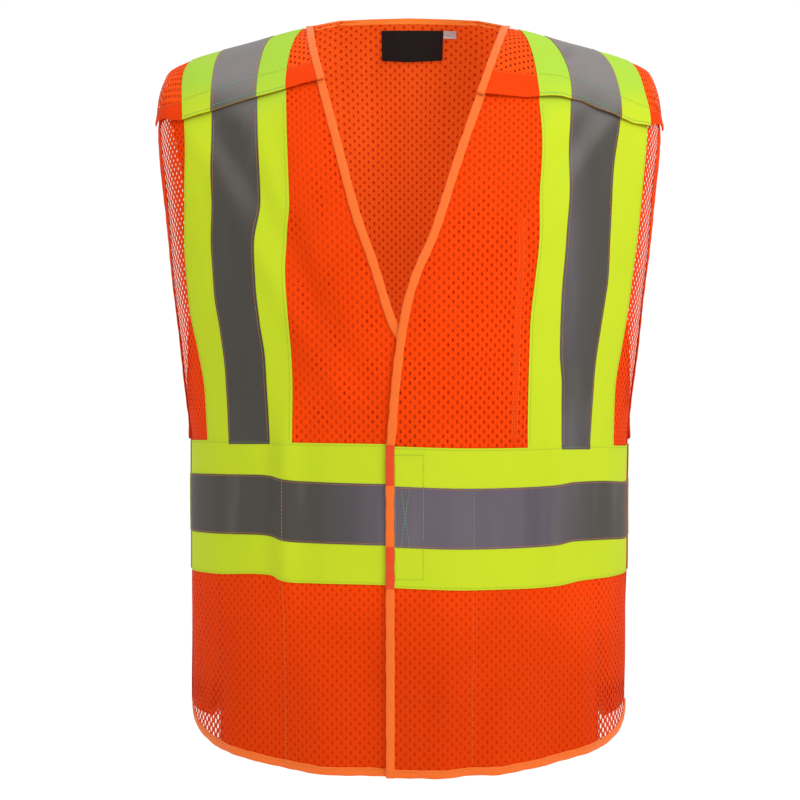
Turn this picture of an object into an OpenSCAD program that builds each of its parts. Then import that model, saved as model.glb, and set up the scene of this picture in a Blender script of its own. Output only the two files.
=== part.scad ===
// High visibility vest: two-tone breakaway mesh vest with contrast and silver tapes.
// Millimetres. +Z up, the front of the vest faces -Y, the wearer's left is +X.
// Every piece is a thin patch laid over one body surface at its own layer height.

/* [Size] */
// overall width scale of the body (chest girth)
width_scale = 1.0; // [0.85:0.01:1.2]
// overall height scale of the body (back length)
height_scale = 1.0; // [0.9:0.01:1.1]

/* [Fabric] */
// thickness of the mesh fabric
mesh_t = 1.0; // [0.6:0.1:1.5]
// thickness of the lime contrast tape
lime_t = 0.6; // [0.3:0.1:1.0]
// thickness of the silver tape
silver_t = 0.5; // [0.3:0.1:1.0]
// height of the outer layer (back panel and flaps) over the fronts
outer_gap = 4.2; // [3.8:0.1:6.0]

/* [Closures] */
// thickness of hook and loop strips
strip_t = 0.6; // [0.4:0.1:1.2]
// gap between a hook strip and its loop strip
strip_gap = 1.1; // [0.4:0.1:1.5]

/* [Hidden] */
HA = 284;       // height of the armhole bottom above the hem
ORIGIN_H = 596; // height of the shoulder rest line above the hem

function lut(t, x, i = 0) =
  x <= t[0][0] ? t[0][1] :
  i >= len(t) - 1 ? t[len(t) - 1][1] :
  x <= t[i + 1][0] ? t[i][1] + (t[i + 1][1] - t[i][1]) * (x - t[i][0]) / (t[i + 1][0] - t[i][0]) :
  lut(t, x, i + 1);

// half widths of the torso rings and depths to front and back
A  = [[0, 196], [140, 197], [284, 198]];
BF = [[0, 138], [140, 141], [284, 142]];
BB = [[0, 132], [140, 128], [284, 130]];
// shoulder ridge by lateral parameter, front and back
XR = [[0, 0], [0.24, 86], [0.65, 200], [0.8, 220], [0.9, 226], [1, 229]];
HR = [[0, 663], [0.24, 656], [0.65, 625], [0.8, 614], [0.9, 599], [1, 578]];
YB = [[0, 56], [0.1, 52], [0.18, 36], [0.24, 0], [1, 0]];
HB = [[0, 678], [0.1, 676], [0.18, 670], [0.24, 656], [0.65, 625], [0.8, 614], [0.9, 599], [1, 578]];

function bez(p, q, r, s, t) = let (m = 1 - t) m*m*m*p + 3*m*m*t*q + 3*m*t*t*r + t*t*t*s;

// body surface: U 0 at the centre line and 1 at the side, v 0..1 hem to armhole, 1..2 up to the ridge
function ring(u, h, f) = [lut(A, h) * sin(90 * u), (f ? -lut(BF, h) : lut(BB, h)) * cos(90 * u), h];
function upper(u, t, f) =
  let (p0 = ring(u, HA, f),
       r = [lut(XR, u), f ? 0 : lut(YB, u), lut(f ? HR : HB, u)],
       a = f ? [lut([[0,0],[0.6,10],[1,8]], u), lut([[0.6,0],[1,-50]], u), 200]
             : [lut([[0,0],[0.6,12],[1,6]], u), lut([[0,14],[0.6,5],[1,50]], u), 200],
       b = f ? [lut([[0.65,0],[1,-7]], u), -lut([[0,100],[0.6,95],[1,70]], u), lut([[0,-25],[0.6,-30],[1,-50]], u)]
             : [lut([[0.65,0],[1,-7]], u), lut([[0,42],[0.24,90],[0.6,95],[1,70]], u), lut([[0,-60],[0.24,-30],[0.6,-30],[1,-50]], u)])
  bez(p0, p0 + a, r + b, r, t);
function S(U, v, f) = let (s = U < 0 ? -1 : 1, u = abs(U), p = v <= 1 ? ring(u, v * HA, f) : upper(u, v - 1, f))
  [s * p[0] * width_scale, p[1], p[2] * height_scale];
function unit(a) = a / norm(a);
function N(U, v, f) =
  let (e = 0.004, u0 = max(-0.995, min(0.995, U)), v0 = max(0.004, min(1.985, v)),
       k = v0 < 1 && v0 > 1 - e ? 1 - e : v0,
       du = S(u0 + e, k, f) - S(u0 - e, k, f), dv = S(u0, k + e, f) - S(u0, k - e, f))
  let (n = unit(f ? cross(du, dv) : cross(dv, du)), w = max(0, min(1, (v - 1.86) / 0.12)))
  unit((1 - w) * n + w * [0, 0, 1]);
function P(c, o) = S(c[0], c[1], c[2]) + o * N(c[0], c[1], c[2]) - [0, 0, ORIGIN_H * height_scale];

// a thin solid over a grid of surface cells between two layer heights
module patch(g, o0, o1) {
  nr = len(g); nc = len(g[0]); n = nr * nc;
  pts = concat([for (r = g) for (c = r) P(c, o1)], [for (r = g) for (c = r) P(c, o0)]);
  fw = (g[0][1][0] - g[0][0][0] > 0) != (g[1][0][1] - g[0][0][1] < 0);
  flip = (g[0][0][2] ? fw : !fw);
  q = [for (i = [0 : nr - 2]) for (j = [0 : nc - 2]) [i*nc + j, i*nc + j + 1, (i+1)*nc + j + 1, (i+1)*nc + j]];
  top = [for (a = q) each [[a[0], a[2], a[1]], [a[0], a[3], a[2]]]];
  bot = [for (a = q) each [[a[0]+n, a[1]+n, a[2]+n], [a[0]+n, a[2]+n, a[3]+n]]];
  e1 = [for (j = [0 : nc - 2]) each wall(j, j + 1, n)];
  e2 = [for (j = [0 : nc - 2]) each wall((nr-1)*nc + j + 1, (nr-1)*nc + j, n)];
  e3 = [for (i = [0 : nr - 2]) each wall((i+1)*nc, i*nc, n)];
  e4 = [for (i = [0 : nr - 2]) each wall(i*nc + nc - 1, (i+1)*nc + nc - 1, n)];
  fs = concat(top, bot, e1, e2, e3, e4);
  polyhedron(points = pts, faces = flip ? fs : [for (t = fs) [t[0], t[2], t[1]]], convexity = 8);
}
function wall(a, b, n) = [[a, b, b + n], [a, b + n, a + n]];
// sub-grid: rows r0..r1 and columns c0..c1
function sub(g, r0, r1, c0, c1) = [for (i = [r0 : r1]) [for (j = [c0 : c1]) g[i][j]]];

// a two-column strip with its first or second column drawn in by a share of its width
function inset(g, a, b) = [for (r = g) [[r[0][0] + (r[1][0] - r[0][0]) * a, r[0][1] + (r[1][1] - r[0][1]) * a, r[0][2]], [r[1][0] + (r[0][0] - r[1][0]) * b, r[1][1] + (r[0][1] - r[1][1]) * b, r[1][2]]]];

// heights along the body by lateral parameter
function hem(u) = lut([[0,0],[0.33,3],[0.53,9],[0.7,16],[0.85,28],[1,42]], abs(u));
LB = [[0,158],[0.3,160],[0.42,164],[1,163]];
SB = [[0,192],[0.3,194],[0.42,197],[1,198]];
ST = [[0,243],[0.3,245],[0.42,248],[1,249]];
LT = [[0,276],[0.3,277],[0.42,278],[1,279]];
// tape edges by height parameter
LI = [[0,0.33],[1.2,0.335],[1.4,0.335],[1.62,0.33],[2,0.275]];
SI = [[0,0.42],[1.1,0.42],[1.3,0.435],[1.62,0.425],[2,0.37]];
SO = [[0,0.572],[1.1,0.575],[1.25,0.603],[1.4,0.592],[1.62,0.582],[2,0.53]];
LO = [[0,0.70],[1.07,0.695],[1.2,0.745],[1.3,0.748],[1.45,0.73],[1.65,0.72],[2,0.645]];
// free edge of each front and the lower edge of the shoulder flap
EL = [[0,-0.062],[0.97,-0.062],[1.02,-0.055],[1.1,-0.042],[1.18,-0.022],[1.23,0.003],[1.3,0.05],[1.4,0.092],[1.6,0.163],[1.8,0.205],[2,0.24]];
ER = [[0,-0.022],[1.0,-0.022],[1.1,-0.012],[1.16,0.022],[1.35,0.112],[1.6,0.175],[1.8,0.21],[2,0.24]];
CUT = [[0,1.62],[0.2,1.63],[0.43,1.64],[0.7,1.65],[0.8,1.70],[0.9,1.8],[1,1.9]];
SIDE = 0.965;

// row heights of the lower body, then fractions of the upper body
function vrow(k, u) =
  k == 0 ? hem(u) / HA : k == 1 ? (hem(u) + 7) / HA : k == 2 ? (hem(u) * 0.5 + 56) / HA : k == 3 ? (hem(u) * 0.2 + 108) / HA :
  k == 4 ? lut(LB, abs(u)) / HA : k == 5 ? lut(SB, abs(u)) / HA : k == 6 ? lut(ST, abs(u)) / HA : k == 7 ? lut(LT, abs(u)) / HA : 1;
FR = [0.07, 0.17, 0.27, 0.37, 0.48, 0.6, 0.72, 0.86, 1];
NF = len(FR);
EB = 0.028; // binding width across

// front panel grid: columns from the free edge to the side; s = +1 wearer's left
function fcols(E, v, side = SIDE) = let (e = lut(E, v), l = lut(LI, v))
  [e, e + EB, e + EB + (l - e - EB) / 3, e + EB + (l - e - EB) * 2 / 3, l, lut(SI, v), (lut(SI, v) + lut(SO, v)) / 2, lut(SO, v), lut(LO, v), (lut(LO, v) + side) / 2, side, 1];
function frow_v(k, u) = k <= 8 ? vrow(k, u) : 1 + FR[k - 9] * (lut(CUT, abs(u)) - 0.012 - 1);
function frow_n(k) = k <= 8 ? vrow(k, 0.4) : 1 + FR[k - 9] * 0.63;
function fgrid(s, E) = [for (k = [0 : 8 + NF]) let (cs = fcols(E, frow_n(k))) [for (u = cs) [s * u, frow_v(k, u), true]]];
FL = fgrid(1, EL);
FRT = fgrid(-1, ER);
TOP = 8 + NF;

// yoke and flap grids on the shoulder
YF = [0, 0.2, 0.42, 0.64, 0.86, 1];
function ygrid(s, E, d0, vtop) = [for (f = YF) let (cs = fcols(E, 1.63 + f * (vtop - 1.63), SIDE))
  [for (u = cs) let (c = lut(CUT, abs(u)) + d0) [s * u, c + f * (vtop - c), true]]];
YL = ygrid(1, EL, 0.006, 1.97);
YR = ygrid(-1, ER, 0.006, 1.97);
PL = ygrid(1, EL, 0, 1.99);
PR = ygrid(-1, ER, 0, 1.99);

// back grid across the full width
// side edge of the back: cut in between the waist and the shoulder for the arm
function bside(v) = SIDE - lut([[1, 0], [1.06, 0], [1.36, 0.13], [1.93, 0.13], [2, 0]], v);
function bc(v) = [lut(LI, v), lut(SI, v), (lut(SI, v) + lut(SO, v)) / 2, lut(SO, v), lut(LO, v), (lut(LO, v) + (v > 1 ? bside(v) : 0.755)) / 2, v > 1 ? bside(v) : 0.755];
function bcols(v) = let (c = bc(v), w = [0.08, 0.16, lut([[0,0.24],[2,0.225]], v)])
  concat([for (i = [6 : -1 : 0]) -c[i]], [-w[2], -w[1], -w[0], 0, w[0], w[1], w[2]], c);
BR = [1.07, 1.17, 1.28, 1.4, 1.52, 1.64, 1.76, 1.86, 1.94, 2];
function brow(k, u) = k <= 8 ? vrow(k, u) : BR[k - 9];
BT = 18;
BG = [for (k = [0 : BT]) [for (u = bcols(k <= 8 ? vrow(k, 0.4) : BR[k - 9])) [u, brow(k, u), false]]];
// armhole strip of the back, side flap and side lap
function barm(s) = [for (k = [9 : BT]) [for (u = [bside(BR[k - 9]), bside(BR[k - 9]) + 0.035]) [s * u, BR[k - 9], false]]];
SF = [0.765, 0.82, 0.88, 0.94, 1];
function sgrid(s) = [for (k = [0 : 7]) [for (u = SF) [s * u, k == 0 ? hem(u) / HA : vrow(k, u), false]]];
SLV = [0.86, 0.93, 1];
function lgrid(s) = [for (k = [0 : 7]) concat([[s * 0.9700, vrow(k, 0.97), true]], [for (u = [1, 0.93, 0.86]) [s * u, vrow(k, u), false]])];

module lime() color([0.78, 0.87, 0.17]) children();
module silver() color([0.34, 0.33, 0.32]) children();
module mesh() color([0.98, 0.29, 0.02]) children();
module bind() color([1.0, 0.42, 0.12]) children();
module strip() color([0.93, 0.30, 0.05]) children();
OB = outer_gap;
m1 = mesh_t; l1 = mesh_t + lime_t; s1 = l1 + silver_t;
FO = s1 + 2 * strip_t + strip_gap + 0.1; // the left front lies over the right front

// sub-part to draw

module back_panel() mesh() patch(sub(BG, 1, BT, 0, 20), OB, OB + m1);
module back_neck_binding() bind() patch(sub(BG, BT - 1, BT, 6, 14), OB + m1, OB + s1);
module back_armhole_binding_left() bind() patch(inset(barm(1), 0.08, 0), OB - 0.3, OB + m1 + 0.4);
module back_armhole_binding_right() bind() patch(inset(barm(-1), 0.08, 0), OB - 0.3, OB + m1 + 0.4);
module back_hem_binding() bind() patch(sub(BG, 0, 1, 0, 20), OB - 0.3, OB + m1 + 0.4);
module back_waist_tape_lime() lime() patch(sub(BG, 4, 7, 0, 20), OB + m1, OB + l1);
module back_waist_tape_silver() silver() patch(sub(BG, 5, 6, 0, 20), OB + l1, OB + s1);
module back_vertical_tape_lime_left() lime() patch(sub(BG, 7, BT, 14, 18), OB + m1, OB + l1);
module back_vertical_tape_lime_right() lime() patch(sub(BG, 7, BT, 2, 6), OB + m1, OB + l1);
module back_vertical_tape_silver_left() silver() patch(sub(BG, 7, BT, 15, 17), OB + l1, OB + s1);
module back_vertical_tape_silver_right() silver() patch(sub(BG, 7, BT, 3, 5), OB + l1, OB + s1);
module neck_label() color([0.05, 0.05, 0.05]) patch([for (v = [1.86, 1.9, 1.95]) [for (u = [-0.078, -0.026, 0.026, 0.078]) [u, v, false]]], OB - 3.1, OB - 2.5);
module size_tab() color([0.92, 0.92, 0.9]) patch([for (v = [1.935, 1.95]) [for (u = [0.084, 0.114]) [u, v, false]]], OB - 3.1, OB - 2.5);
module shoulder_loop_strips() strip() { patch(sub(YL, 1, 2, 4, 10), m1, m1 + strip_t); patch(sub(YR, 1, 2, 4, 10), m1, m1 + strip_t); }
module side_loop_strips() strip() { patch(sub(lgrid(1), 4, 7, 1, 2), m1, m1 + strip_t); patch(sub(lgrid(-1), 4, 7, 1, 2), m1, m1 + strip_t); }
module front_yoke_left() mesh() patch(sub(YL, 0, 5, 0, 11), 0, m1);
module side_lap_left() mesh() patch(lgrid(1), 0, m1);
module shoulder_flap_panel_left() mesh() patch(sub(PL, 0, 5, 1, 10), OB, OB + m1);
module shoulder_flap_tape_lime_left() lime() patch(sub(PL, 0, 5, 4, 8), OB + m1, OB + l1);
module shoulder_flap_tape_silver_left() silver() patch(sub(PL, 0, 5, 5, 7), OB + l1, OB + s1);
module shoulder_flap_neck_binding_left() bind() patch(inset(sub(PL, 0, 5, 0, 1), 0, 0.06), OB - 0.3, OB + m1 + 0.4);
module shoulder_flap_armhole_binding_left() bind() patch(inset(sub(PL, 0, 5, 10, 11), 0.08, 0), OB - 0.3, OB + m1 + 0.4);
module shoulder_hook_strip_left() strip() patch(sub(PL, 1, 2, 4, 9), OB - strip_t, OB);
module side_flap_panel_left() mesh() patch(sub(sgrid(1), 0, 7, 0, 4), OB, OB + m1);
module side_flap_tape_lime_left() lime() patch(sub(sgrid(1), 4, 7, 0, 4), OB + m1, OB + l1);
module side_flap_tape_silver_left() silver() patch(sub(sgrid(1), 5, 6, 0, 4), OB + l1, OB + s1);
module side_hook_strip_left() strip() patch(sub(sgrid(1), 4, 7, 3, 4), OB - strip_t, OB);
module front_panel_left() mesh() patch(sub(FL, 1, TOP, 1, 10), FO, FO + m1);
module front_edge_binding_left() bind() patch(inset(sub(FL, 0, TOP, 0, 1), 0, 0.05), FO - 0.2, FO + s1);
module front_armhole_binding_left() bind() patch(inset(sub(FL, 8, TOP, 10, 11), 0.08, 0), FO - 0.2, FO + m1 + 0.4);
module front_hem_binding_left() bind() patch(sub(FL, 0, 1, 1, 10), FO - 0.2, FO + m1 + 0.4);
module front_vertical_tape_lime_left() lime() patch(sub(FL, 7, TOP, 4, 8), FO + m1, FO + l1);
module front_vertical_tape_silver_left() silver() patch(sub(FL, 7, TOP, 5, 7), FO + l1, FO + s1);
module front_waist_tape_lime_left() lime() patch(sub(FL, 4, 7, 1, 10), FO + m1, FO + l1);
module front_waist_tape_silver_left() silver() patch(sub(FL, 5, 6, 1, 10), FO + l1, FO + s1);
module front_hook_strip_left() strip() patch([for (v = [0.58, 0.74, 0.84, 0.95]) [for (u = [-0.036, -0.008, 0.018]) [u, v, true]]], FO - strip_t - 0.9, FO - 0.9);
module lower_pocket_left() mesh() patch([for (k = [1 : 5]) [for (u = [0.04, 0.175, 0.33, 0.496, 0.572, 0.62]) [1 * u, vrow(k, u), true]]], FO - 1.9, FO - 1.0);
module chest_pocket_left() mesh() patch(sub([for (r = [8 : 13]) [for (j = [2 : 5]) FL[r][j]]], 0, 5, 0, 3), FO - 0.9, FO);
module front_yoke_right() mesh() patch(sub(YR, 0, 5, 0, 11), 0, m1);
module side_lap_right() mesh() patch(lgrid(-1), 0, m1);
module shoulder_flap_panel_right() mesh() patch(sub(PR, 0, 5, 1, 10), OB, OB + m1);
module shoulder_flap_tape_lime_right() lime() patch(sub(PR, 0, 5, 4, 8), OB + m1, OB + l1);
module shoulder_flap_tape_silver_right() silver() patch(sub(PR, 0, 5, 5, 7), OB + l1, OB + s1);
module shoulder_flap_neck_binding_right() bind() patch(inset(sub(PR, 0, 5, 0, 1), 0, 0.06), OB - 0.3, OB + m1 + 0.4);
module shoulder_flap_armhole_binding_right() bind() patch(inset(sub(PR, 0, 5, 10, 11), 0.08, 0), OB - 0.3, OB + m1 + 0.4);
module shoulder_hook_strip_right() strip() patch(sub(PR, 1, 2, 4, 9), OB - strip_t, OB);
module side_flap_panel_right() mesh() patch(sub(sgrid(-1), 0, 7, 0, 4), OB, OB + m1);
module side_flap_tape_lime_right() lime() patch(sub(sgrid(-1), 4, 7, 0, 4), OB + m1, OB + l1);
module side_flap_tape_silver_right() silver() patch(sub(sgrid(-1), 5, 6, 0, 4), OB + l1, OB + s1);
module side_hook_strip_right() strip() patch(sub(sgrid(-1), 4, 7, 3, 4), OB - strip_t, OB);
module front_panel_right() mesh() patch(sub(FRT, 1, TOP, 1, 10), 0, 0 + m1);
module front_edge_binding_right() bind() patch(inset(sub(FRT, 0, TOP, 0, 1), 0, 0.05), 0 - 0.2, 0 + s1);
module front_armhole_binding_right() bind() patch(inset(sub(FRT, 8, TOP, 10, 11), 0.08, 0), 0 - 0.2, 0 + m1 + 0.4);
module front_hem_binding_right() bind() patch(sub(FRT, 0, 1, 1, 10), 0 - 0.2, 0 + m1 + 0.4);
module front_vertical_tape_lime_right() lime() patch(sub(FRT, 7, TOP, 4, 8), 0 + m1, 0 + l1);
module front_vertical_tape_silver_right() silver() patch(sub(FRT, 7, TOP, 5, 7), 0 + l1, 0 + s1);
module front_waist_tape_lime_right() lime() patch(sub(FRT, 4, 7, 1, 10), 0 + m1, 0 + l1);
module front_waist_tape_silver_right() silver() patch(sub(FRT, 5, 6, 1, 10), 0 + l1, 0 + s1);
module front_loop_strip_right() strip() patch([for (v = [0.58, 0.74, 0.84, 0.95]) [for (u = [0.004, 0.025, 0.046]) [-u, v, true]]], s1, s1 + strip_t);
module lower_pocket_right() mesh() patch([for (k = [1 : 5]) [for (u = [0.04, 0.175, 0.33, 0.496, 0.572, 0.62]) [-1 * u, vrow(k, u), true]]], 0 - 1.9, 0 - 1.0);

back_panel();
back_neck_binding();
back_armhole_binding_left();
back_armhole_binding_right();
back_hem_binding();
back_waist_tape_lime();
back_waist_tape_silver();
back_vertical_tape_lime_left();
back_vertical_tape_lime_right();
back_vertical_tape_silver_left();
back_vertical_tape_silver_right();
neck_label();
size_tab();
shoulder_loop_strips();
side_loop_strips();
front_yoke_left();
side_lap_left();
shoulder_flap_panel_left();
shoulder_flap_tape_lime_left();
shoulder_flap_tape_silver_left();
shoulder_flap_neck_binding_left();
shoulder_flap_armhole_binding_left();
shoulder_hook_strip_left();
side_flap_panel_left();
side_flap_tape_lime_left();
side_flap_tape_silver_left();
side_hook_strip_left();
front_panel_left();
front_edge_binding_left();
front_armhole_binding_left();
front_hem_binding_left();
front_vertical_tape_lime_left();
front_vertical_tape_silver_left();
front_waist_tape_lime_left();
front_waist_tape_silver_left();
front_hook_strip_left();
lower_pocket_left();
chest_pocket_left();
front_yoke_right();
side_lap_right();
shoulder_flap_panel_right();
shoulder_flap_tape_lime_right();
shoulder_flap_tape_silver_right();
shoulder_flap_neck_binding_right();
shoulder_flap_armhole_binding_right();
shoulder_hook_strip_right();
side_flap_panel_right();
side_flap_tape_lime_right();
side_flap_tape_silver_right();
side_hook_strip_right();
front_panel_right();
front_edge_binding_right();
front_armhole_binding_right();
front_hem_binding_right();
front_vertical_tape_lime_right();
front_vertical_tape_silver_right();
front_waist_tape_lime_right();
front_waist_tape_silver_right();
front_loop_strip_right();
lower_pocket_right();
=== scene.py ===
import bpy, math
import numpy as np
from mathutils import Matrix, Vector


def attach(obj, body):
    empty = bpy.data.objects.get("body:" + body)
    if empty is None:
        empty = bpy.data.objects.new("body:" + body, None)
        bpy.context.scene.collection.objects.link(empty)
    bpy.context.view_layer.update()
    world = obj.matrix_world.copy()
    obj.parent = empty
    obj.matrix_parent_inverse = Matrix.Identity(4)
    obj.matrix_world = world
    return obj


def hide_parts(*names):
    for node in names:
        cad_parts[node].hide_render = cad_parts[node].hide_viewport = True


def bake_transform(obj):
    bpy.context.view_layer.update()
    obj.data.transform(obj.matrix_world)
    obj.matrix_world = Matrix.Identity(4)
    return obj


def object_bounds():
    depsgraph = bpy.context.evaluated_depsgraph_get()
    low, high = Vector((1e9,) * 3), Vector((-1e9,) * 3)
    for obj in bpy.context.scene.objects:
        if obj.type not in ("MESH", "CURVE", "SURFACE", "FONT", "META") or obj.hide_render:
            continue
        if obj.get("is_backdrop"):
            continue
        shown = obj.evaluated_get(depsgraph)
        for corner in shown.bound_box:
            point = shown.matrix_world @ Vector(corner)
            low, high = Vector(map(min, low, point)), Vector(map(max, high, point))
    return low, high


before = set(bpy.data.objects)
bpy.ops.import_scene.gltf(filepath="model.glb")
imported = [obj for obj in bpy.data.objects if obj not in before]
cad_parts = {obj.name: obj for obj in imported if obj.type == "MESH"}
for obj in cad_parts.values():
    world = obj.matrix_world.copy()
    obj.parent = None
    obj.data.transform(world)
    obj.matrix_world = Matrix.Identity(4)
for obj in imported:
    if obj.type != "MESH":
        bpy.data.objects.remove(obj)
CAD_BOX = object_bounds()
OH = 596.0          # height of the row origin above the hem, mm
HA = 284.0          # height of the armhole bottom above the hem, mm
rng = np.random.default_rng(7)

# ---------------------------------------------------------------- body surface
def spl(tab, x):
    t = np.array(tab, float); xs, ys = t[:, 0], t[:, 1]
    x = np.clip(np.asarray(x, float), xs[0], xs[-1])
    if len(xs) == 2:
        return ys[0] + (ys[1] - ys[0]) * (x - xs[0]) / (xs[1] - xs[0])
    d = np.diff(ys) / np.diff(xs); m = np.zeros(len(xs))
    p = d[:-1] * d[1:]; ok = p > 0
    m[1:-1][ok] = 2 * p[ok] / (d[:-1] + d[1:])[ok]
    m[0], m[-1] = d[0], d[-1]
    i = np.clip(np.searchsorted(xs, x, side="right") - 1, 0, len(xs) - 2)
    h = xs[i + 1] - xs[i]; q = (x - xs[i]) / h
    return ((1 + 2*q)*(1-q)**2*ys[i] + q*(1-q)**2*h*m[i] + q*q*(3-2*q)*ys[i+1] + q*q*(q-1)*h*m[i+1])

def lin(tab, x):
    t = np.array(tab, float)
    return np.interp(x, t[:, 0], t[:, 1])

A = [[0, 196], [140, 197], [284, 198]]
BF = [[0, 138], [140, 141], [284, 142]]
BB = [[0, 132], [140, 128], [284, 130]]
XR = [[0, 0], [.12, 43], [.24, 86], [.45, 145], [.65, 200], [.8, 220], [.9, 226], [1, 229]]
HRF = [[0, 663], [.24, 656], [.45, 641], [.65, 625], [.8, 614], [.9, 600], [1, 578]]
YRB = [[0, 56], [.1, 52], [.18, 34], [.24, 0], [1, 0]]
HRB = [[0, 677], [.1, 675], [.18, 669], [.24, 656], [.45, 641], [.65, 625], [.8, 614], [.9, 600], [1, 578]]

def ring(u, h, front):
    a = lin(A, h); b = lin(BF, h) if front else -lin(BB, h)
    return np.stack([a*np.sin(np.pi/2*u), -b*np.cos(np.pi/2*u), h], -1)

def surf(U, v, front):
    U = np.asarray(U, float); v = np.asarray(v, float); U, v = np.broadcast_arrays(U, v)
    s = np.where(U < 0, -1.0, 1.0); u = np.abs(U)
    low = ring(u, np.clip(v, -.2, 1)*HA, front)
    p0 = ring(u, np.full(u.shape, HA), front)
    r = np.stack([spl(XR, u), 0*u if front else lin(YRB, u), spl(HRF, u) if front else lin(HRB, u)], -1)
    if front:
        a = np.stack([lin([[0,0],[.6,10],[1,18]], u), lin([[.6,0],[1,-50]], u), 200+0*u], -1)
        b = np.stack([lin([[.65,0],[1,-9]], u), -lin([[0,100],[.6,95],[1,70]], u), lin([[0,-25],[.6,-30],[1,-50]], u)], -1)
    else:
        a = np.stack([lin([[0,0],[.6,12],[1,6]], u), lin([[0,14],[.6,5],[1,50]], u), 200+0*u], -1)
        b = np.stack([lin([[.65,0],[1,-7]], u), lin([[0,42],[.24,90],[.6,95],[1,70]], u), lin([[0,-60],[.24,-30],[.6,-30],[1,-50]], u)], -1)
    t = np.clip(v - 1, 0, 1)[..., None]; m = 1 - t
    up = m**3*p0 + 3*m*m*t*(p0+a) + 3*m*t*t*(r+b) + t**3*r
    p = np.where((v <= 1)[..., None], low, up)
    p[..., 0] *= s
    return p

def g(x, c, w):
    return np.exp(-((x - c)/w)**2)

def sm(a, b, x):
    t = np.clip((x - a)/(b - a), 0, 1); return t*t*(3-2*t)

def folds(p, front):
    """soft folds of the hanging cloth, mm outward"""
    x, h = p[..., 0], p[..., 2]
    lo = sm(165, 60, h); ch = sm(290, 330, h)*sm(600, 520, h)
    if front:
        f = lo*(2.6*g(x, 34 + (h-80)*.10, 13) - 1.9*g(x, 60 + (h-80)*.12, 12) + 2.2*g(x, 92 + (h-80)*.22, 14)
                - 1.2*g(x, 122, 12) + 1.6*g(x, 150, 11) - 2.2*g(x, -34, 15) + 1.6*g(x, -78 - (h-80)*.08, 16)
                - 1.4*g(x, -112, 12) + 1.8*g(x, -148, 13))
        f = f + ch*(2.0*g(x - .62*(h-350), 48, 13) - 1.3*g(x - .62*(h-350), 22, 11) + 1.6*g(x - .3*(h-430), 78, 11)
                    - 1.8*g(x + .55*(h-350), -52, 14) + 1.5*g(x + .55*(h-350), -80, 12) - 1.0*g(x + .2*(h-430), -92, 9))
        mid = sm(120, 170, h)*sm(330, 270, h)
        f = f + mid*(2.4*g(x, -104, 9) - 1.6*g(x, -122, 9) - .9*g(x, -84, 12) + 1.8*g(x, 128, 12) - 1.1*g(x, 108, 10) - .8*g(x, 150, 9)
                     + .9*g(x, -165, 9) + .8*g(x, 172, 8))
        va = sm(290, 330, h)*sm(560, 480, h)
        f = f + va*(1.5*np.sin((h-300)/62.)*g(np.abs(x), 150, 26))
    else:
        f = lo*(2.6*np.sin(x/24. + .7)*sm(190, 150, np.abs(x)) + 1.2*np.sin(x/11. + h/90.))
        f = f + ch*(1.9*np.sin(x/31. + h/130.) + 1.1*g(np.abs(x) + .25*(h-430), 70, 14))
        f = f + sm(120, 170, h)*sm(330, 270, h)*1.3*np.sin(x/28. + 1.1)
    f = f + .35*np.sin(x/17. + h/41.) * np.cos(h/23. - x/53.)
    return f * sm(655, 600, h) if not front else f*1.45

def frame_at(U, v, front):
    e = .006
    u0 = np.clip(U, -.99, .99); v0 = np.clip(v, .012, 1.985)
    du = surf(u0+e, v0, front) - surf(u0-e, v0, front)
    dv = surf(u0, v0+e, front) - surf(u0, v0-e, front)
    n = np.cross(du, dv) if front else np.cross(dv, du)
    n /= np.linalg.norm(n, axis=-1, keepdims=True)
    w = np.clip((np.asarray(v) - 1.86)/.12, 0, 1)[..., None]
    n = (1-w)*n + w*np.array([0, 0, 1.])
    return n/np.linalg.norm(n, axis=-1, keepdims=True)

def point(U, v, o, front):
    U, v, o = np.broadcast_arrays(np.asarray(U, float), np.asarray(v, float), np.asarray(o, float))
    p = surf(U, v, front); n = frame_at(U, v, front)
    fade = sm(1.97, 1.86, v)
    return p + n*(o + folds(p, front)*fade)[..., None] - np.array([0, 0, OH]), n

# cloth coordinates: length along the body, mm
_Ug = np.linspace(-1, 1, 201); _vg = np.linspace(0, 2, 401)
LEN = {}
for fr in (True, False):
    q = surf(_Ug[:, None], _vg[None, :], fr)
    LEN[fr] = np.concatenate([np.zeros((201, 1)), np.cumsum(np.linalg.norm(np.diff(q, axis=1), axis=2), 1)], 1)
_r = ring(np.linspace(0, 1, 101), np.full(101, 142.), True)
ARC = np.concatenate([[0], np.cumsum(np.linalg.norm(np.diff(_r, axis=0), axis=1))])

def along(U, v, front):
    U, v = np.broadcast_arrays(np.asarray(U, float), np.asarray(v, float))
    i = np.clip((U+1)*100, 0, 199.999); j = np.clip(v*200, 0, 399.999)
    i0, j0 = i.astype(int), j.astype(int); a, b = i-i0, j-j0; T = LEN[front]
    return (1-a)*(1-b)*T[i0, j0] + a*(1-b)*T[i0+1, j0] + (1-a)*b*T[i0, j0+1] + a*b*T[i0+1, j0+1]

def arc(U):
    return np.sign(U)*np.interp(np.abs(U), np.linspace(0, 1, 101), ARC)

def cloth_uv(U, v, front, flap=False):
    y = along(U, v, front)
    if flap:
        y = along(U, 2.0, False) + along(U, 2.0, True) - y
    return np.stack(np.broadcast_arrays(arc(U), y), -1)

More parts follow.
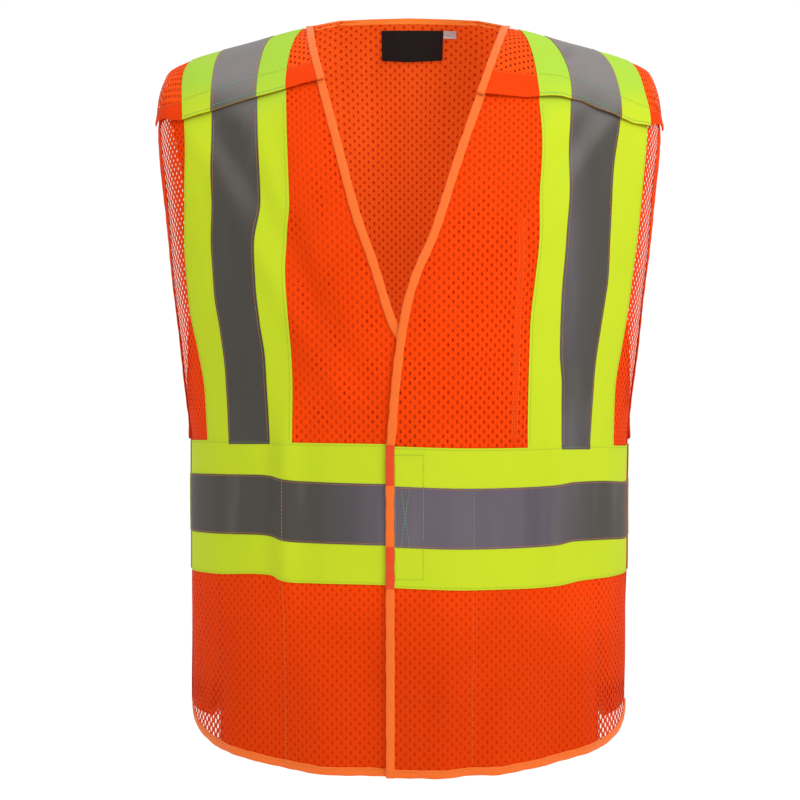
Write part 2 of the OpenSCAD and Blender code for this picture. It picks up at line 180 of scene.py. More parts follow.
# ---------------------------------------------------------------- outlines
LBL = [[-1, 164], [-.62, 165], [-.46, 167], [-.41, 166.5], [-.36, 162.5], [-.31, 161], [-.16, 161], [0, 160], [.06, 159]]
SBL = [[-1, 199], [-.62, 200], [-.46, 200.5], [-.41, 199.5], [-.36, 196.5], [-.31, 195], [-.16, 194], [0, 193], [.06, 192]]
STL = [[-1, 251], [-.62, 251.5], [-.46, 251.5], [-.41, 250.5], [-.36, 248], [-.31, 246.5], [-.16, 245], [0, 244], [.06, 243]]
LTL = [[-1, 281], [-.46, 281], [-.36, 279], [-.16, 278], [.06, 277]]
LBR = [[-.08, 159], [.17, 156], [.36, 156], [.42, 157], [.52, 160], [.62, 161], [.84, 162], [1, 163]]
SBR = [[-.08, 192.5], [.17, 190], [.36, 190.5], [.42, 191.5], [.50, 194.5], [.62, 194.5], [.84, 193], [1, 195]]
STR = [[-.08, 243], [.17, 240.5], [.36, 241.5], [.42, 242.5], [.50, 245], [.62, 245.5], [.84, 244], [1, 246]]
LTR = [[-.08, 276], [.17, 274], [.36, 274.5], [.52, 276.5], [.84, 276], [1, 278]]
EDGE = {1: [[0, -.064], [.95, -.064], [1.02, -.057], [1.1, -.043], [1.186, -.020], [1.238, .004], [1.313, .052], [1.411, .094], [1.608, .163], [1.8, .208], [2, .24]],
        -1: [[0, -.022], [1.0, -.022], [1.08, -.016], [1.135, .006], [1.166, .034], [1.26, .082], [1.356, .129], [1.5, .172], [1.673, .210], [1.8, .23], [2, .245]]}
TL = {1: dict(li=[[0, .335], [.968, .335], [1.084, .330], [1.164, .331], [1.234, .340], [1.360, .350], [1.5, .351], [1.625, .341], [2, .285]],
              si=[[0, .446], [.968, .446], [1.072, .443], [1.125, .431], [1.209, .428], [1.316, .438], [1.440, .441], [1.647, .443], [2, .372]],
              so=[[0, .576], [.974, .576], [1.087, .575], [1.171, .589], [1.263, .611], [1.346, .604], [1.488, .597], [1.625, .604], [2, .534]],
              lo=[[0, .711], [.974, .711], [1.075, .702], [1.146, .725], [1.240, .755], [1.327, .764], [1.45, .770], [1.65, .763], [1.8, .71], [2, .655]]),
      -1: dict(li=[[0, .330], [.993, .330], [1.099, .327], [1.181, .332], [1.258, .340], [1.313, .334], [1.385, .321], [1.627, .321], [2, .27]],
               si=[[0, .411], [.998, .411], [1.111, .412], [1.173, .425], [1.237, .434], [1.305, .432], [1.394, .414], [1.633, .413], [2, .372]],
               so=[[0, .571], [.998, .571], [1.09, .570], [1.164, .581], [1.231, .597], [1.302, .598], [1.412, .578], [1.621, .561], [2, .534]],
               lo=[[0, .700], [.999, .700], [1.069, .695], [1.130, .720], [1.212, .756], [1.301, .754], [1.432, .715], [1.619, .672], [1.8, .665], [2, .642]])}
CUT = {1: [[0, 1.612], [.226, 1.617], [.3, 1.624], [.36, 1.640], [.41, 1.652], [.48, 1.656], [.533, 1.642], [.6, 1.632], [.66, 1.637], [.72, 1.650], [.777, 1.664], [.88, 1.738], [1, 1.868]],
       -1: [[0, 1.668], [.205, 1.665], [.337, 1.654], [.433, 1.651], [.577, 1.645], [.63, 1.646], [.683, 1.652], [.76, 1.683], [.88, 1.757], [1, 1.898]]}
HEM = [[0, 0], [.25, 1], [.4, 4.5], [.53, 10], [.66, 14], [.78, 22], [.88, 31], [1, 44]]
HEMB = [[0, 10], [.2, 11], [.4, 19], [.52, 27], [.62, 33], [.68, 31], [.76, 20], [.82, 14], [.88, 20], [1, 44]]

def wt(name, s):
    """height curve of a waist tape edge on one front, by |U|"""
    t = {"lb": (LBR, LBL), "sb": (SBR, SBL), "st": (STR, STL), "lt": (LTR, LTL)}[name][0 if s > 0 else 1]
    return lambda u: spl(t, s*np.asarray(u))

def fbase(s, U, v):
    """height of a front over the body surface: the wearer's left front laps over the right"""
    if s > 0:
        return 2.8*sm(.30, .05, np.where(U < 0, -U*0, U))*sm(1.42, 1.12, v)
    return 0*np.asarray(U)

# ---------------------------------------------------------------- mesh building
def new_obj(name, verts, faces, mat, uv=None, smooth=True, sharp=None):
    me = bpy.data.meshes.new(name)
    v = np.asarray(verts, float)/1000.0
    f = np.asarray(faces, int)
    me.vertices.add(len(v)); me.vertices.foreach_set("co", v.ravel())
    me.loops.add(f.size); me.loops.foreach_set("vertex_index", f.ravel())
    me.polygons.add(len(f))
    me.polygons.foreach_set("loop_start", np.arange(len(f))*f.shape[1])
    me.polygons.foreach_set("loop_total", np.full(len(f), f.shape[1]))
    if uv is not None:
        l = me.uv_layers.new(name="cloth")
        l.data.foreach_set("uv", (np.asarray(uv, float)/1000.0)[f.ravel()].ravel())
    me.update(calc_edges=True)
    me.polygons.foreach_set("use_smooth", np.ones(len(f), bool))
    if sharp is not None:
        sh = set(map(tuple, np.sort(np.asarray(sharp, int), 1).tolist()))
        k = np.zeros(len(me.edges), bool)
        ev = np.zeros(len(me.edges)*2, int); me.edges.foreach_get("vertices", ev)
        for i, e in enumerate(np.sort(ev.reshape(-1, 2), 1).tolist()):
            if tuple(e) in sh: k[i] = True
        at = me.attributes.get("sharp_edge") or me.attributes.new("sharp_edge", "BOOLEAN", "EDGE")
        at.data.foreach_set("value", k)
    me.validate()
    o = bpy.data.objects.new(name, me); bpy.context.scene.collection.objects.link(o)
    me.materials.append(mat)
    return o

def grid_faces(nr, nc, flip):
    i = np.arange(nr-1)[:, None]*nc + np.arange(nc-1)[None, :]
    f = np.stack([i, i+1, i+nc+1, i+nc], -1).reshape(-1, 4)
    return f[:, ::-1] if flip else f

def sheet(name, U, V, off, front, mat, thick=0.0, uv=None, flap=False):
    """a piece of cloth over a grid of (U, v); rows by axis 0. thick adds the back face and the cut edge"""
    U, V = np.broadcast_arrays(U, V)
    o = off(U, V) if callable(off) else off
    p, n = point(U, V, o, front)
    nr, nc = U.shape
    q = cloth_uv(U, V, front, flap) if uv is None else uv
    d1 = p[0, 1]-p[0, 0]; d2 = p[1, 0]-p[0, 0]
    mid = (nr//2, nc//2)
    a = p[mid[0], mid[1]+1 if mid[1]+1 < nc else mid[1]] - p[mid[0], mid[1]-1]
    b = p[mid[0]+1 if mid[0]+1 < nr else mid[0], mid[1]] - p[mid[0]-1, mid[1]]
    flip = np.dot(np.cross(a, b), n[mid]) < 0
    f = grid_faces(nr, nc, flip)
    P = p.reshape(-1, 3); Q = q.reshape(-1, 2)
    area = 0.0
    t = P[f]; area = .5*(np.linalg.norm(np.cross(t[:, 1]-t[:, 0], t[:, 2]-t[:, 0]), axis=1).sum() + np.linalg.norm(np.cross(t[:, 2]-t[:, 0], t[:, 3]-t[:, 0]), axis=1).sum())
    wid = np.linalg.norm(np.diff(p, axis=1), axis=2).sum(1); lng = np.linalg.norm(np.diff(p, axis=0), axis=2).sum(0)
    sharp = None
    if thick:
        N_ = nr*nc
        P = np.concatenate([P, (p - n*thick).reshape(-1, 3)]); Q = np.concatenate([Q, Q])
        edge = np.concatenate([np.arange(nc), np.arange(1, nr)*nc + nc-1, (nr-1)*nc + np.arange(nc-2, -1, -1), np.arange(nr-2, 0, -1)*nc])
        e2 = np.roll(edge, -1)
        w = np.stack([edge, edge+N_, e2+N_, e2], -1)
        w = w if not flip else w[:, ::-1]
        f = np.concatenate([f, (f+N_)[:, ::-1], w])
        sharp = np.concatenate([np.stack([edge, e2], 1), np.stack([edge+N_, e2+N_], 1)])
    ob = new_obj(name, P, f, mat, Q, sharp=sharp)
    ob["flat_w"], ob["flat_l"], ob["flat_a"] = float(wid.max()), float(lng.max()), float(area)
    return ob

def declare(ob):
    w, l, a = ob["flat_w"]/1000, ob["flat_l"]/1000, ob["flat_a"]/1e6
    w, l = max(w, .0101), max(l, .0101)
    a = min(a, w*l); k = a/(w*l)
    if k < .32:
        w *= k/.33
        a = min(a, w*l)

def sweep(name, P, N, B, width, thick, mat, off=0.0, wob=.12, closed_ends=True, segs=14):
    """a folded binding along a path: flat rounded section, width along B (into the cloth) and thick along N"""
    P = np.asarray(P); n = len(P)
    L = np.concatenate([[0], np.cumsum(np.linalg.norm(np.diff(P, axis=0), axis=1))])
    ang = np.linspace(0, 2*np.pi, segs, endpoint=False)
    # superellipse section
    cx = np.sign(np.cos(ang))*np.abs(np.cos(ang))**.55; cz = np.sign(np.sin(ang))*np.abs(np.sin(ang))**.8
    wv = 1 + wob*.35*np.sin(L/5.3)*np.sin(L/17.) + wob*.3*np.sin(L/2.9+1.)
    tv = 1 + wob*1.6*np.sin(L/3.1)*np.cos(L/11.)
    x = (width/2)*(1 - cx[None, :]*wv[:, None]); z = (thick/2)*cz[None, :]*tv[:, None]
    # stitched groove a little in from the inner side
    z = z*(1 - .28*np.exp(-((x - width*.80)/(width*.07))**2))
    V = P[:, None, :] + B[:, None, :]*x[..., None] + N[:, None, :]*(z + off)[..., None]
    f = []
    i = np.arange(n-1)[:, None]*segs; j = np.arange(segs)[None, :]; jn = (j+1) % segs
    f = np.stack([i+j, i+jn, i+segs+jn, i+segs+j], -1).reshape(-1, 4)
    uv = np.stack(np.broadcast_arrays((x - width/2), L[:, None]), -1).reshape(-1, 2)
    verts = V.reshape(-1, 3)
    # end caps as quads to a centre line
    caps = []
    for base in (0, (n-1)*segs):
        for k in range(1, segs//2):
            a, b, c, d = base+k, base+k+1 if k+1 <= segs//2 else base+k, base+(segs-k-1) % segs, base+(segs-k) % segs
            if len({a, b, c, d}) == 4:
                caps.append([a, b, c, d] if base else [d, c, b, a])
    f = np.concatenate([f, np.array(caps, int)]) if caps else f
    c = f[0]; nn = np.cross(verts[c[1]]-verts[c[0]], verts[c[3]]-verts[c[0]])
    cen = V[0].mean(0)
    if np.dot(nn, verts[c[0]]-cen) < 0: f = f[:, ::-1]
    ob = new_obj(name, verts, f, mat, uv)
    ob["flat_w"], ob["flat_l"] = float(width), float(L[-1]); ob["flat_a"] = float(width*L[-1])
    return ob

def binding(name, U, V, into, off, front, width, thick, mat, wob=.12):
    """binding along the line (U, v); into = +1/-1 along U, or 2/-2 along v, the side where the cloth is"""
    U = np.asarray(U, float); V = np.asarray(V, float)
    o = off(U, V) if callable(off) else off
    p, n = point(U, V, o, front)
    T = np.gradient(p, axis=0); T /= np.linalg.norm(T, axis=1, keepdims=True)
    B = np.cross(n, T); B /= np.linalg.norm(B, axis=1, keepdims=True)
    e = .02
    if abs(into) == 1: q, _ = point(U+into*e, V, o, front)
    else: q, _ = point(U, V+np.sign(into)*e, o, front)
    if np.dot((q-p).mean(0), B.mean(0)) < 0: B = -B
    n2 = np.cross(T, B); n2 *= np.sign((n2*n).sum(1))[:, None]
    return sweep(name, p, n2, B, width, thick, mat, wob=wob)

def resample(P, N, step):
    L = np.concatenate([[0], np.cumsum(np.linalg.norm(np.diff(P, axis=0), axis=1))])
    s = np.arange(0, L[-1], step)
    f = lambda A_: np.stack([np.interp(s, L, A_[:, k]) for k in range(3)], -1)
    return f(P), f(N)

ST = {}
def stitch(group, P, N, pitch=2.9, fill=.74, r=.26, lift=.12, jit=.10):
    a, na = resample(np.asarray(P), np.asarray(N), pitch)
    if len(a) < 3: return
    T = np.gradient(a, axis=0); T /= np.linalg.norm(T, axis=1, keepdims=True)
    na /= np.linalg.norm(na, axis=1, keepdims=True); Bv = np.cross(na, T)
    ln = pitch*fill
    k = 5; t = np.array([-.5, -.36, 0, .36, .5]); rr = np.array([.25, .85, 1, .85, .25])*r; dz = np.array([-.9, .0, .28, .0, -.9])*r
    ang = np.arange(k)*2*np.pi/k
    jb = rng.normal(0, jit, len(a))
    c = a[:, None, :] + T[:, None, :]*(t*ln)[None, :, None] + na[:, None, :]*(dz + lift)[None, :, None] + Bv[:, None, :]*jb[:, None, None]*.6
    v = c[:, :, None, :] + (na[:, None, None, :]*np.sin(ang)[None, None, :, None] + Bv[:, None, None, :]*np.cos(ang)[None, None, :, None])*rr[None, :, None, None]
    v = v.reshape(-1, 3); m = len(a)
    i = np.arange(4)[:, None]*k; j = np.arange(k)[None, :]
    f = np.stack([i+j, i+(j+1) % k, i+k+(j+1) % k, i+k+j], -1).reshape(-1, 4)
    F = (f[None] + (np.arange(m)*25)[:, None, None]).reshape(-1, 4)
    ST.setdefault(group, []).append((v, F))

def stitch_uv(group, U, V, off, front, **kw):
    U = np.asarray(U, float); V = np.asarray(V, float); U, V = np.broadcast_arrays(U, V)
    o = off(U, V) if callable(off) else off
    p, n = point(U, V, o, front)
    stitch(group, p, n, **kw)

# ---------------------------------------------------------------- materials
def nodes_of(name):
    m = bpy.data.materials.new(name); m.use_nodes = True
    nt = m.node_tree; nt.nodes.clear()
    out = nt.nodes.new("ShaderNodeOutputMaterial"); b = nt.nodes.new("ShaderNodeBsdfPrincipled")
    nt.links.new(b.outputs[0], out.inputs[0])
    return m, nt, b, out

def mathn(nt, op, a, b=None, c=None, clamp=False):
    n = nt.nodes.new("ShaderNodeMath"); n.operation = op; n.use_clamp = clamp
    for i, x in enumerate((a, b, c)):
        if x is None: continue
        if isinstance(x, (int, float)): n.inputs[i].default_value = x
        else: nt.links.new(x, n.inputs[i])
    return n.outputs[0]

def ramp(nt, x, a, b, lo=0.0, hi=1.0):
    n = nt.nodes.new("ShaderNodeMapRange"); n.interpolation_type = "SMOOTHSTEP"
    nt.links.new(x, n.inputs["Value"])
    n.inputs["From Min"].default_value = a; n.inputs["From Max"].default_value = b
    n.inputs["To Min"].default_value = lo; n.inputs["To Max"].default_value = hi
    return n.outputs["Result"]

def mixc(nt, fac, a, b):
    n = nt.nodes.new("ShaderNodeMix"); n.data_type = "RGBA"
    if isinstance(fac, (int, float)): n.inputs[0].default_value = fac
    else: nt.links.new(fac, n.inputs[0])
    for i, x in ((6, a), (7, b)):
        if isinstance(x, tuple): n.inputs[i].default_value = (*x, 1)
        else: nt.links.new(x, n.inputs[i])
    return n.outputs[2]

def uvxy(nt):
    u = nt.nodes.new("ShaderNodeUVMap"); u.uv_map = "cloth"
    s = nt.nodes.new("ShaderNodeSeparateXYZ"); nt.links.new(u.outputs[0], s.inputs[0])
    return mathn(nt, "MULTIPLY", s.outputs[0], 1000.0), mathn(nt, "MULTIPLY", s.outputs[1], 1000.0)

def noise(nt, scale, detail=3.0, rough=.5):
    tc = nt.nodes.new("ShaderNodeTexCoord"); n = nt.nodes.new("ShaderNodeTexNoise")
    nt.links.new(tc.outputs["Object"], n.inputs["Vector"])
    n.inputs["Scale"].default_value = scale; n.inputs["Detail"].default_value = detail; n.inputs["Roughness"].default_value = rough
    return n.outputs[0]

def bumpn(nt, b, h, strength, dist):
    n = nt.nodes.new("ShaderNodeBump"); n.inputs["Strength"].default_value = strength; n.inputs["Distance"].default_value = dist
    nt.links.new(h, n.inputs["Height"]); nt.links.new(n.outputs[0], b.inputs["Normal"])

K = .70    # all dyed colours are a little darker than they look under the key light

def set_common(b, rough, sheen=0.0, spec=.5, metal=0.0):
    b.inputs["Roughness"].default_value = rough; b.inputs["Metallic"].default_value = metal
    b.inputs["Specular IOR Level"].default_value = spec
    b.inputs["Sheen Weight"].default_value = sheen; b.inputs["Sheen Roughness"].default_value = .5

def lin3(r, g_, b):
    f = lambda c: c/12.92 if c <= .04045 else ((c+.055)/1.055)**2.4
    return tuple(K*f(x/255) for x in (r, g_, b))

def mesh_material(name, col, dark, holes=True, glow=.06, through=True, shoulders=False):
    m, nt, b, out = nodes_of(name)
    x, y = uvxy(nt)
    PX, PY = 7.7, 8.0
    def ell(ox, oy, rx, ry):
        fx = mathn(nt, "FRACT", mathn(nt, "MULTIPLY_ADD", x, 1/PX, ox)); fy = mathn(nt, "FRACT", mathn(nt, "MULTIPLY_ADD", y, 1/PY, oy))
        a = mathn(nt, "MULTIPLY", mathn(nt, "SUBTRACT", fx, .5), PX/rx); c = mathn(nt, "MULTIPLY", mathn(nt, "SUBTRACT", fy, .5), PY/ry)
        return mathn(nt, "SQRT", mathn(nt, "ADD", mathn(nt, "MULTIPLY", a, a), mathn(nt, "MULTIPLY", c, c)))
    d = mathn(nt, "MINIMUM", ell(100., 100., .74, 1.34), ell(100.5, 100.5, .74, 1.34))
    ax = mathn(nt, "ABSOLUTE", x)
    # the cloth is stretched open at the armholes and the rounded hem corners
    edge_up = mathn(nt, "MULTIPLY", ramp(nt, ax, float(arc(np.array(.76))), float(arc(np.array(.84)))), ramp(nt, y, 296., 320.))
    edge_lo = mathn(nt, "MULTIPLY", ramp(nt, ax, float(arc(np.array(.60))), float(arc(np.array(.64)))), ramp(nt, y, 76., 60.))
    d = mathn(nt, "DIVIDE", d, mathn(nt, "MULTIPLY_ADD", mathn(nt, "MAXIMUM", edge_up, edge_lo), .9 if shoulders else .72, 1.0))
    backed = mathn(nt, "MULTIPLY", ramp(nt, y, 176., 166.), ramp(nt, ax, float(arc(np.array(.64))), float(arc(np.array(.60)))))
    # knit ribs between the holes
    rib = mathn(nt, "SINE", mathn(nt, "MULTIPLY", x, 2*math.pi/1.14))
    zig = mathn(nt, "SINE", mathn(nt, "MULTIPLY_ADD", y, 2*math.pi/1.64, mathn(nt, "MULTIPLY", x, 2.1)))
    ribs = mathn(nt, "MULTIPLY_ADD", mathn(nt, "MULTIPLY", rib, zig), .22, .5)
    big = noise(nt, 9.0, 2.0)
    c = mixc(nt, ramp(nt, big, .35, .68), col, tuple(k*.90 for k in col))
    c = mixc(nt, mathn(nt, "MULTIPLY", ribs, .16), c, dark)
    # painted shade: the cloth is mixed towards half its colour from 172 mm down to 60 mm, darker towards the hem
    c = mixc(nt, ramp(nt, y, 172., 60., 0.0, .34), c, tuple(k*.50 for k in col))
    # painted shade: the dark colour fills a rim around each hole, standing for the shaded cloth seen through it; weaker
    # where a pocket lies behind
    if holes:
        hole_rim_shade_f = ramp(nt, d, 1.45, .95, 0.0, .92)
        if through:
            hole_rim_shade_f = mathn(nt, "MULTIPLY", hole_rim_shade_f, mathn(nt, "MULTIPLY_ADD", backed, -.52, 1.0))
        c = mixc(nt, hole_rim_shade_f, c, dark)
    nt.links.new(c, b.inputs["Base Color"])
    nt.links.new(c, b.inputs["Emission Color"]); b.inputs["Emission Strength"].default_value = glow
    hgt = mathn(nt, "ADD", mathn(nt, "MULTIPLY", ribs, .25), ramp(nt, d, 1.0, 2.1) if holes else mathn(nt, "MULTIPLY", ribs, .2))
    bumpn(nt, b, hgt, .55, .0006)
    set_common(b, .78, sheen=0.0, spec=.05)
    if holes:
        t = nt.nodes.new("ShaderNodeBsdfTransparent"); t.inputs[0].default_value = (.97, .80, .72, 1); mx = nt.nodes.new("ShaderNodeMixShader")
        hm = ramp(nt, d, 1.08, .86)
        if through:
            hm = mathn(nt, "MULTIPLY", hm, mathn(nt, "SUBTRACT", 1.0, backed))
        if not through:
            hm = mathn(nt, "MULTIPLY", hm, mathn(nt, "MULTIPLY", ramp(nt, ax, float(arc(np.array(.78))), float(arc(np.array(.82)))), ramp(nt, y, 560., 600.)) if shoulders else 0.0)
        nt.links.new(hm, mx.inputs[0]); nt.links.new(b.outputs[0], mx.inputs[1]); nt.links.new(t.outputs[0], mx.inputs[2])
        nt.links.new(mx.outputs[0], out.inputs[0])
    return m

def tape_material(name, col, up, glow=.05):
    m, nt, b, out = nodes_of(name)
    x, y = uvxy(nt)
    geo = nt.nodes.new("ShaderNodeNewGeometry"); s = nt.nodes.new("ShaderNodeSeparateXYZ"); nt.links.new(geo.outputs["Normal"], s.inputs[0])
    # painted highlight: faces that point upwards take the paler up colour
    painted_toplight_f = ramp(nt, s.outputs[2], .25, .62)
    c = mixc(nt, painted_toplight_f, col, up)
    wv = mathn(nt, "MULTIPLY", mathn(nt, "SINE", mathn(nt, "MULTIPLY", x, 2*math.pi/.9)), mathn(nt, "SINE", mathn(nt, "MULTIPLY", y, 2*math.pi/.75)))
    c = mixc(nt, mathn(nt, "MULTIPLY_ADD", wv, .035, .035), c, tuple(k*.75 for k in col))
    c = mixc(nt, ramp(nt, noise(nt, 14.0, 3.0), .42, .75, 0.0, .16), c, tuple(k*.82 for k in col))
    nt.links.new(c, b.inputs["Base Color"]); nt.links.new(c, b.inputs["Emission Color"]); b.inputs["Emission Strength"].default_value = glow
    bumpn(nt, b, mathn(nt, "ADD", mathn(nt, "MULTIPLY", wv, .35), mathn(nt, "MULTIPLY", noise(nt, 60.0, 2.0), 1.6)), .35, .0004)
    set_common(b, .72, sheen=0.0, spec=.12)
    return m

def silver_material(name):
    m, nt, b, out = nodes_of(name)
    x, y = uvxy(nt)
    tc = nt.nodes.new("ShaderNodeTexCoord"); so = nt.nodes.new("ShaderNodeSeparateXYZ"); nt.links.new(tc.outputs["Object"], so.inputs[0])
    geo = nt.nodes.new("ShaderNodeNewGeometry"); s = nt.nodes.new("ShaderNodeSeparateXYZ"); nt.links.new(geo.outputs["Normal"], s.inputs[0])
    grey, purple_reflection, top = lin3(78, 75, 69), lin3(104, 94, 106), lin3(132, 127, 126)
    # painted reflection: the grey takes a purple tint low at the centre front, and a mauve one on the vertical tape at
    # x 0.10 to 0.165 m
    cen = ramp(nt, mathn(nt, "ABSOLUTE", mathn(nt, "SUBTRACT", so.outputs[0], .045)), .135, .04)
    low = ramp(nt, so.outputs[2], -.27, -.31)
    c = mixc(nt, mathn(nt, "MULTIPLY", cen, low), grey, purple_reflection)
    right = mathn(nt, "MULTIPLY", ramp(nt, so.outputs[0], .165, .13, 0.0, .45), mathn(nt, "MULTIPLY", ramp(nt, so.outputs[0], .10, .12), ramp(nt, so.outputs[2], -.3, -.2)))
    c = mixc(nt, right, c, lin3(98, 88, 102))
    # painted highlight: faces that point upwards take the lighter top colour
    c = mixc(nt, ramp(nt, s.outputs[2], .18, .60), c, top)
    v = nt.nodes.new("ShaderNodeMapping"); v.inputs["Scale"].default_value = (26, 26, 5); nt.links.new(tc.outputs["Object"], v.inputs[0])
    n1 = nt.nodes.new("ShaderNodeTexNoise"); nt.links.new(v.outputs[0], n1.inputs["Vector"]); n1.inputs["Scale"].default_value = 1.0; n1.inputs["Detail"].default_value = 2.0
    c = mixc(nt, ramp(nt, n1.outputs[0], .5, .72, 0.0, .34), c, lin3(120, 116, 112))
    c = mixc(nt, ramp(nt, n1.outputs[0], .48, .3, 0.0, .25), c, lin3(66, 62, 60))
    nt.links.new(c, b.inputs["Base Color"])
    h = mathn(nt, "ADD", mathn(nt, "MULTIPLY", noise(nt, 46.0, 3.0), 1.0), mathn(nt, "MULTIPLY", noise(nt, 2200.0, 1.0), .12))
    bumpn(nt, b, h, .30, .0011)
    set_common(b, .60, sheen=0.0, spec=.14, metal=0.0)
    return m

def simple(name, col, rough=.7, fine=1200.0, glow=0.0, bump=.3, spec=.25, sheen=.1, var=.12):
    m, nt, b, out = nodes_of(name)
    c = mixc(nt, ramp(nt, noise(nt, 60.0, 3.0), .35, .7, 0.0, var), col, tuple(k*.6 for k in col))
    nt.links.new(c, b.inputs["Base Color"]); nt.links.new(c, b.inputs["Emission Color"]); b.inputs["Emission Strength"].default_value = glow
    bumpn(nt, b, noise(nt, fine, 2.0), bump, .0005)
    set_common(b, rough, sheen=sheen, spec=spec)
    return m

def woven(name, col, dark, pitch=.62, glow=0.0, spec=.2):
    m, nt, b, out = nodes_of(name)
    x, y = uvxy(nt)
    w = mathn(nt, "MULTIPLY", mathn(nt, "SINE", mathn(nt, "MULTIPLY", x, 2*math.pi/pitch)), mathn(nt, "SINE", mathn(nt, "MULTIPLY", y, 2*math.pi/(pitch*.8))))
    c = mixc(nt, mathn(nt, "MULTIPLY_ADD", w, .22, .25), col, dark)
    nt.links.new(c, b.inputs["Base Color"]); nt.links.new(c, b.inputs["Emission Color"]); b.inputs["Emission Strength"].default_value = glow
    bumpn(nt, b, mathn(nt, "ADD", w, mathn(nt, "MULTIPLY", noise(nt, 300., 2.), .8)), .5, .00025)
    set_common(b, .66, sheen=.1, spec=spec)
    return m

OR = lin3(255, 70, 0); ORD = lin3(150, 14, 0)
M_MESH = mesh_material("mesh_fabric", OR, ORD)
# painted light: a lighter orange and a strong glow lift the shaded inside of the back
M_MESHB = mesh_material("mesh_fabric_back", lin3(255, 98, 26), lin3(196, 40, 6), glow=.40, through=False, shoulders=True)
# painted light: the pockets glow so that their shade inside the front stays light
M_PKT = mesh_material("pocket_mesh", lin3(255, 74, 6), lin3(215, 44, 2), glow=.30, holes=False)
# painted light: a lighter, more glowing copy of the mesh, lifting the shade seen through the shoulder flap
M_MESHF = mesh_material("mesh_fabric_flap", lin3(255, 84, 12), lin3(196, 44, 4), glow=.12, through=True)
M_SOLID = mesh_material("solid_knit", lin3(250, 68, 6), ORD, holes=False)
M_BIND = woven("edge_binding", lin3(255, 122, 34), lin3(250, 84, 14), pitch=1.1, glow=.07)
# painted light: a lighter, strongly glowing copy of the binding for the back neck
M_BIND_NECK_LIT = woven("binding_neck_lit", lin3(255, 140, 50), lin3(253, 112, 30), pitch=1.1, glow=.45)
M_BINDR = woven("edge_binding_red", lin3(246, 78, 24), lin3(215, 48, 6), pitch=1.1, glow=.05)
# the second colour is the painted highlight for upward faces
M_LIME = tape_material("lime_tape", lin3(202, 222, 34), lin3(170, 214, 62), glow=.05)
M_SILVER = silver_material("silver_tape")
M_LABEL = woven("woven_label", lin3(16, 15, 17), lin3(4, 4, 5), pitch=.5)
M_TAB = woven("woven_tab", lin3(240, 240, 236), lin3(205, 205, 200), pitch=.5)
M_HOOK = simple("hook_strip", lin3(242, 88, 26), rough=.5, fine=2600., bump=1.0, spec=.4)
M_LOOP = simple("loop_strip", lin3(236, 78, 22), rough=.9, fine=1500., bump=1.0, sheen=.5)
M_THREAD = simple("thread_green", lin3(110, 190, 120), rough=.55, spec=.35, var=.3)
M_THREADO = simple("thread_orange", lin3(236, 140, 40), rough=.6, var=.25)
M_THREADL = simple("thread_lime", lin3(170, 205, 60), rough=.6, var=.25)

# ---------------------------------------------------------------- pieces
def lerp(a, b, t): return a + (b - a)*t
def col(n): return np.linspace(0, 1, n)[None, :]
def row(n): return np.linspace(0, 1, n)[:, None]

def rides(ob, body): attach(ob, body)
def ridge_blend(ob):
    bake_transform(ob)
def front_blend(ob):
    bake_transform(ob)
def side_blend(ob):
    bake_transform(ob)
OB = 3.0

def side_end(v): return .765 + .222*sm(.985, 1.0, v) - .15*sm(1.06, 1.36, v)*sm(2.0, 1.95, v)

